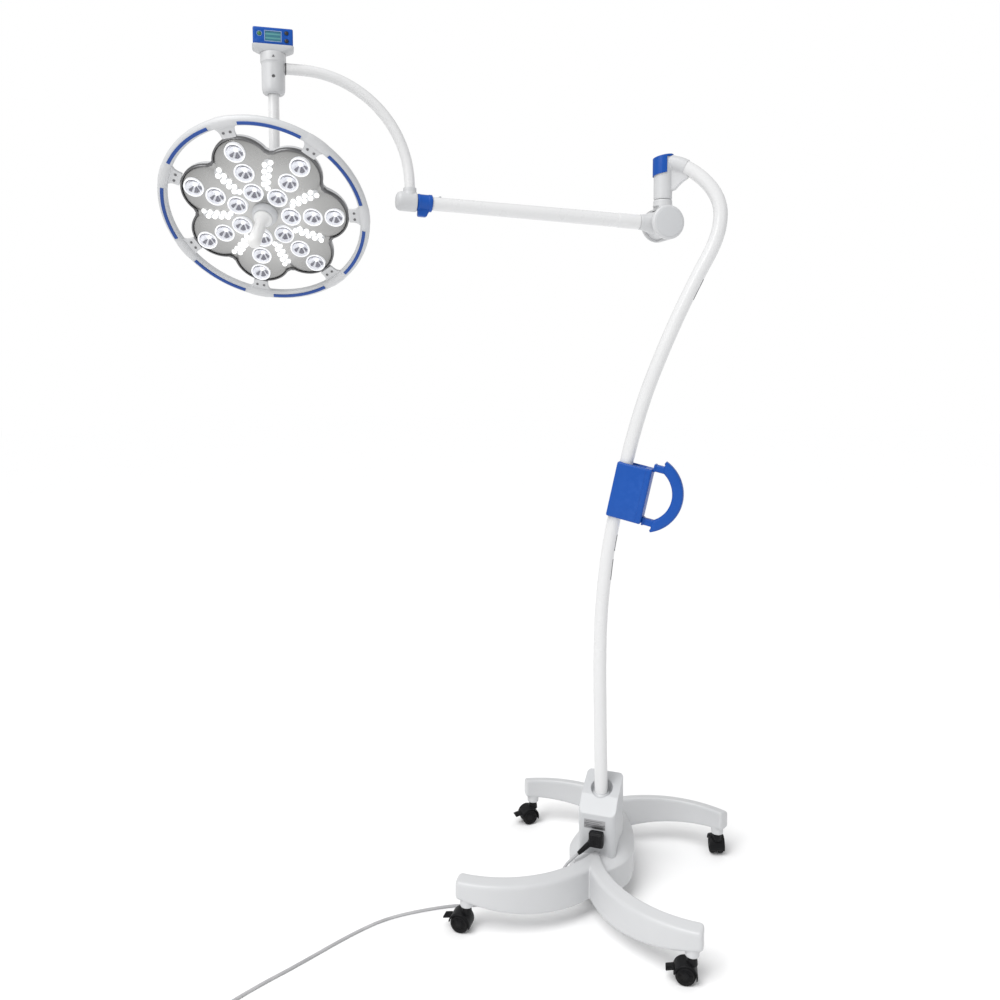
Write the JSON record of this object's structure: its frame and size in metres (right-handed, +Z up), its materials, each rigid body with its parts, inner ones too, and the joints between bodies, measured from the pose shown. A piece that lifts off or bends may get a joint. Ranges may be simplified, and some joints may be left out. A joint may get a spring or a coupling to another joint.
{
  "type": "surgical light",
  "caption": "Mobile surgical light: petal-shaped LED head with a grip ring, bow and sprung arm on a curved pole with a push handle and a four-castor base.",
  "frame": {"origin": "on the floor under the middle of the bounding box, cord left out", "axes": "+Z up; +X from the stand's left castors to its right ones, seen from its front; +Y from its front to its back"},
  "size_m": [1.2356, 1.2814, 2.2962],
  "materials": {
    "white_cast": "satin",
    "white_paint": "satin",
    "white_plastic": "satin",
    "blue_plastic": "satin",
    "black_plastic": "satin",
    "castor_plastic": "satin",
    "tyre_rubber": "matte",
    "steel": "satin",
    "ballast_iron": "matte",
    "silver_panel": "satin",
    "lens_glass": "gloss",
    "heat_sink": "satin",
    "display": "gloss",
    "green_button": "satin",
    "black_button": "satin",
    "handle_plastic": "gloss",
    "cord_sheath": "satin"
  },
  "bodies": {
    "stand": {"base_legs": "white_cast", "ballast_plate": "ballast_iron", "column_housing": "white_plastic", "inlet_socket": "black_plastic", "power_supply": "steel", "pole_tube": "white_paint", "handle_box": "blue_plastic", "handle_grip": "blue_plastic", "spindle_housing": "white_cast", "hook_cap": "blue_plastic", "inlet_plug": "black_plastic", "cord_lead": "cord_sheath", "cord_coil": "cord_sheath", "mains_plug": "black_plastic"},
    "swivel": {"swivel_yoke": "white_cast", "pivot_pin": "steel", "spindle_shaft": "steel"},
    "arm": {"arm_hub": "white_cast", "arm_tube": "white_cast", "arm_spring": "steel", "lock_collar": "blue_plastic"},
    "bow": {"bow_tee": "white_cast", "bow_tube": "white_paint", "head_housing": "white_cast", "panel_dish": "white_plastic", "control_panel": "blue_plastic", "display": "display"},
    "drop": {"drop_tube": "white_paint", "tilt_knuckle": "white_cast"},
    "head": {"head_shell": "white_cast", "head_hub": "white_cast", "front_panel": "silver_panel", "lens_array": "lens_glass", "heat_sink": "heat_sink", "handle_socket": "white_plastic", "tilt_pin": "steel", "grip_ring": "white_plastic", "ring_bracket_1": "white_cast", "ring_bracket_2": "white_cast", "ring_bracket_3": "white_cast", "ring_bracket_4": "white_cast", "ring_bracket_5": "white_cast", "ring_bracket_6": "white_cast", "ring_bracket_7": "white_cast"},
    "sterile_handle": {"sterile_handle": "handle_plastic"},
    "power_key": {"button_power": "green_button"},
    "plus_key": {"button_plus": "black_button"},
    "minus_key": {"button_minus": "black_button"},
    "castor_front_left": {"castor_hood_front_left": "castor_plastic"},
    "wheels_front_left": {"castor_wheels_front_left": "tyre_rubber"},
    "brake_front_left": {"brake_pedal_front_left": "castor_plastic"},
    "castor_front_right": {"castor_hood_front_right": "castor_plastic"},
    "wheels_front_right": {"castor_wheels_front_right": "tyre_rubber"},
    "brake_front_right": {"brake_pedal_front_right": "castor_plastic"},
    "castor_back_left": {"castor_hood_back_left": "castor_plastic"},
    "wheels_back_left": {"castor_wheels_back_left": "tyre_rubber"},
    "brake_back_left": {"brake_pedal_back_left": "castor_plastic"},
    "castor_back_right": {"castor_hood_back_right": "castor_plastic"},
    "wheels_back_right": {"castor_wheels_back_right": "tyre_rubber"},
    "brake_back_right": {"brake_pedal_back_right": "castor_plastic"}
  },
  "joints": [
    {"name": "arm_swivel", "type": "hinge", "parent": "stand", "child": "swivel", "pos_m": [0.437, 0.226, 1.879], "axis": [0, 0, 1], "range_deg": [-175, 115]},
    {"name": "arm_lift", "type": "hinge", "parent": "swivel", "child": "arm", "pos_m": [0.437, 0.226, 1.879], "axis": [-0.5592, 0.829, 0], "range_deg": [-42, 18]},
    {"name": "bow_roll", "type": "hinge", "parent": "arm", "child": "bow", "pos_m": [-0.12757, -0.15481, 1.90861], "axis": [-0.8283, -0.5587, 0.0435], "range_deg": [-90, 90]},
    {"name": "head_yaw", "type": "hinge", "parent": "bow", "child": "drop", "pos_m": [-0.39618, -0.33599, 2], "axis": [0, 0, 1], "range_deg": [-170, 170]},
    {"name": "head_tilt", "type": "hinge", "parent": "drop", "child": "head", "pos_m": [-0.39618, -0.33599, 1.927], "axis": [0.9556, 0.2946, 0], "range_deg": [-40, 135]},
    {"name": "handle_pull", "type": "slide", "parent": "head", "child": "sterile_handle", "axis": [0.2209, -0.7165, -0.6617], "range_m": [0, 0.03]},
    {"name": "power_press", "type": "slide", "parent": "bow", "child": "power_key", "axis": [-0.5592, 0.829, 0], "range_m": [0, 0.0012], "stiffness_N_per_m": 400},
    {"name": "plus_press", "type": "slide", "parent": "bow", "child": "plus_key", "axis": [-0.5592, 0.829, 0], "range_m": [0, 0.0012], "stiffness_N_per_m": 400},
    {"name": "minus_press", "type": "slide", "parent": "bow", "child": "minus_key", "axis": [-0.5592, 0.829, 0], "range_m": [0, 0.0012], "stiffness_N_per_m": 400},
    {"name": "castor_swivel_front_left", "type": "hinge", "parent": "stand", "child": "castor_front_left", "pos_m": [-0.0135, -0.069, 0.08], "axis": [0, 0, 1], "continuous": true},
    {"name": "wheel_spin_front_left", "type": "hinge", "parent": "castor_front_left", "child": "wheels_front_left", "pos_m": [-0.02948, -0.06984, 0.025], "axis": [-0.0523, 0.9986, 0], "continuous": true},
    {"name": "brake_press_front_left", "type": "hinge", "parent": "castor_front_left", "child": "brake_front_left", "pos_m": [-0.05594, -0.07122, 0.0385], "axis": [0.0523, -0.9986, 0], "range_deg": [0, 12]},
    {"name": "castor_swivel_front_right", "type": "hinge", "parent": "stand", "child": "castor_front_right", "pos_m": [0.5765, -0.069, 0.08], "axis": [0, 0, 1], "continuous": true},
    {"name": "wheel_spin_front_right", "type": "hinge", "parent": "castor_front_right", "child": "wheels_front_right", "pos_m": [0.56074, -0.07178, 0.025], "axis": [-0.1736, 0.9848, 0], "continuous": true},
    {"name": "brake_press_front_right", "type": "hinge", "parent": "castor_front_right", "child": "brake_front_right", "pos_m": [0.53465, -0.07638, 0.0385], "axis": [0.1736, -0.9848, 0], "range_deg": [0, 12]},
    {"name": "castor_swivel_back_left", "type": "hinge", "parent": "stand", "child": "castor_back_left", "pos_m": [-0.0135, 0.521, 0.08], "axis": [0, 0, 1], "continuous": true},
    {"name": "wheel_spin_back_left", "type": "hinge", "parent": "castor_back_left", "child": "wheels_back_left", "pos_m": [-0.02593, 0.51093, 0.025], "axis": [-0.6293, 0.7771, 0], "continuous": true},
    {"name": "brake_press_back_left", "type": "hinge", "parent": "castor_back_left", "child": "brake_back_left", "pos_m": [-0.04653, 0.49425, 0.0385], "axis": [0.6293, -0.7771, 0], "range_deg": [0, 12]},
    {"name": "castor_swivel_back_right", "type": "hinge", "parent": "stand", "child": "castor_back_right", "pos_m": [0.5765, 0.521, 0.08], "axis": [0, 0, 1], "continuous": true},
    {"name": "wheel_spin_back_right", "type": "hinge", "parent": "castor_back_right", "child": "wheels_back_right", "pos_m": [0.57209, 0.53638, 0.025], "axis": [0.9613, 0.2756, 0], "continuous": true},
    {"name": "brake_press_back_right", "type": "hinge", "parent": "castor_back_right", "child": "brake_back_right", "pos_m": [0.56479, 0.56185, 0.0385], "axis": [-0.9613, -0.2756, 0], "range_deg": [0, 12]}
  ]
}
